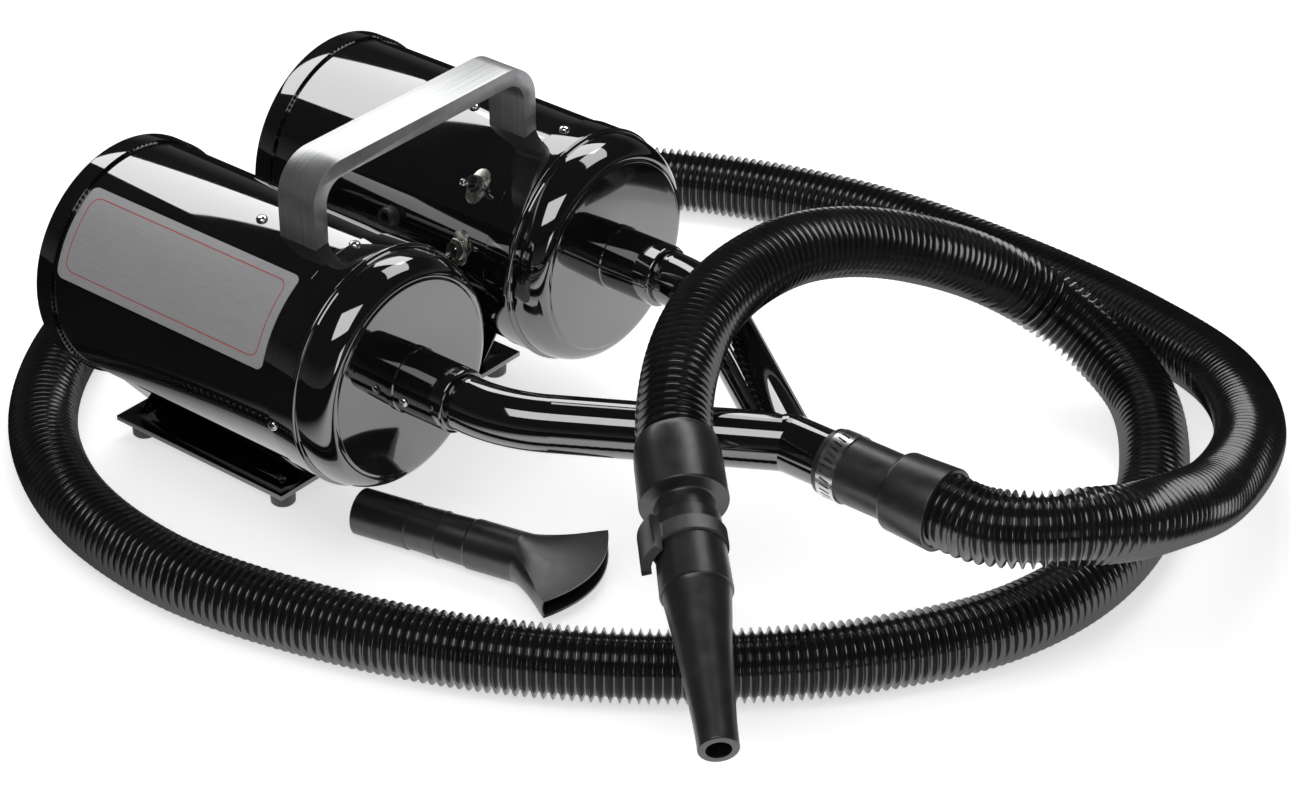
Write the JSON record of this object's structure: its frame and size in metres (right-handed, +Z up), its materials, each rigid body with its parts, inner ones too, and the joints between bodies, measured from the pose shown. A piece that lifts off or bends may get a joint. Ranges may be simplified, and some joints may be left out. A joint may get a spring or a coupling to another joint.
{
  "type": "pet dryer",
  "caption": "Twin-can force dryer for pets: blower cans on a plate with rubber feet, a Y-pipe, a ribbed hose with a cone nozzle, and a spare fan nozzle.",
  "frame": {"origin": "on the floor, midway between the two cans and below the middle of the dryer's length, which runs from the base plate's rear edge to the machine cuff", "axes": "+X along the cans towards their outlets, +Z up, +Y from the near can to the far can"},
  "size_m": [0.9669, 0.7995, 0.304],
  "materials": {
    "gloss_black_steel": "high gloss black",
    "grey_rubber": "translucent grey",
    "black_rubber": "matte",
    "foam": "open-cell foam",
    "motor_steel": "plain steel",
    "rotor_metal": "bare aluminium and copper",
    "black_plastic": "matte",
    "zinc": "zinc plate",
    "chrome": "polished",
    "brushed_aluminium": "brushed",
    "stainless": "bright stainless",
    "satin_black_plastic": "satin",
    "hose_plastic": "semi-gloss ribbed"
  },
  "bodies": {
    "dryer": {"base_plate": "gloss_black_steel", "saddle_near": "gloss_black_steel", "saddle_far": "gloss_black_steel", "foot_rear_near": "grey_rubber", "foot_rear_far": "grey_rubber", "foot_front_near": "grey_rubber", "foot_front_far": "grey_rubber", "can_near": "gloss_black_steel", "can_far": "gloss_black_steel", "cap_near": "gloss_black_steel", "cap_far": "gloss_black_steel", "rear_cover_near": "gloss_black_steel", "rear_cover_far": "gloss_black_steel", "filter_near": "foam", "filter_far": "foam", "motor_mount_near": "black_rubber", "motor_mount_far": "black_rubber", "motor_near": "motor_steel", "motor_far": "motor_steel", "outlet_near": "gloss_black_steel", "outlet_far": "gloss_black_steel", "switch_body_upper": "black_plastic", "switch_body_lower": "black_plastic", "switch_plate_upper": "zinc", "switch_plate_lower": "zinc", "switch_nut_upper": "zinc", "switch_nut_lower": "zinc", "cord_gland": "black_plastic", "handle": "brushed_aluminium", "y_pipe": "gloss_black_steel", "clamp_band": "stainless", "clamp_screw": "stainless", "machine_cuff": "satin_black_plastic", "hose": "hose_plastic", "hand_cuff": "satin_black_plastic", "fan_nozzle": "satin_black_plastic"},
    "rotor_near": {"rotor_near": "rotor_metal"},
    "rotor_far": {"rotor_far": "rotor_metal"},
    "lever_upper": {"switch_lever_upper": "chrome"},
    "lever_lower": {"switch_lever_lower": "chrome"},
    "nozzle": {"nozzle": "satin_black_plastic"},
    "lock_ring": {"lock_ring": "satin_black_plastic"}
  },
  "joints": [
    {"name": "rotor_spin_near", "type": "hinge", "parent": "dryer", "child": "rotor_near", "pos_m": [-0.2, -0.1125, 0.157], "axis": [1, 0, 0], "continuous": true},
    {"name": "rotor_spin_far", "type": "hinge", "parent": "dryer", "child": "rotor_far", "pos_m": [-0.2, 0.1125, 0.157], "axis": [1, 0, 0], "continuous": true},
    {"name": "switch_upper", "type": "hinge", "parent": "dryer", "child": "lever_upper", "pos_m": [-0.121, 0.04364, 0.2201], "axis": [1, 0, 0], "range_deg": [-28, 0]},
    {"name": "switch_lower", "type": "hinge", "parent": "dryer", "child": "lever_lower", "pos_m": [-0.121, 0.02091, 0.1753], "axis": [1, 0, 0], "range_deg": [-28, 0]},
    {"name": "nozzle_pull_off", "type": "slide", "parent": "dryer", "child": "nozzle", "axis": [0.6821, -0.6703, -0.2924], "range_m": [0, 0.04]},
    {"name": "lock_ring_turn", "type": "hinge", "parent": "nozzle", "child": "lock_ring", "pos_m": [0.23507, -0.14712, 0.16061], "axis": [0.6821, -0.6703, -0.2924], "range_deg": [0, 35]}
  ]
}
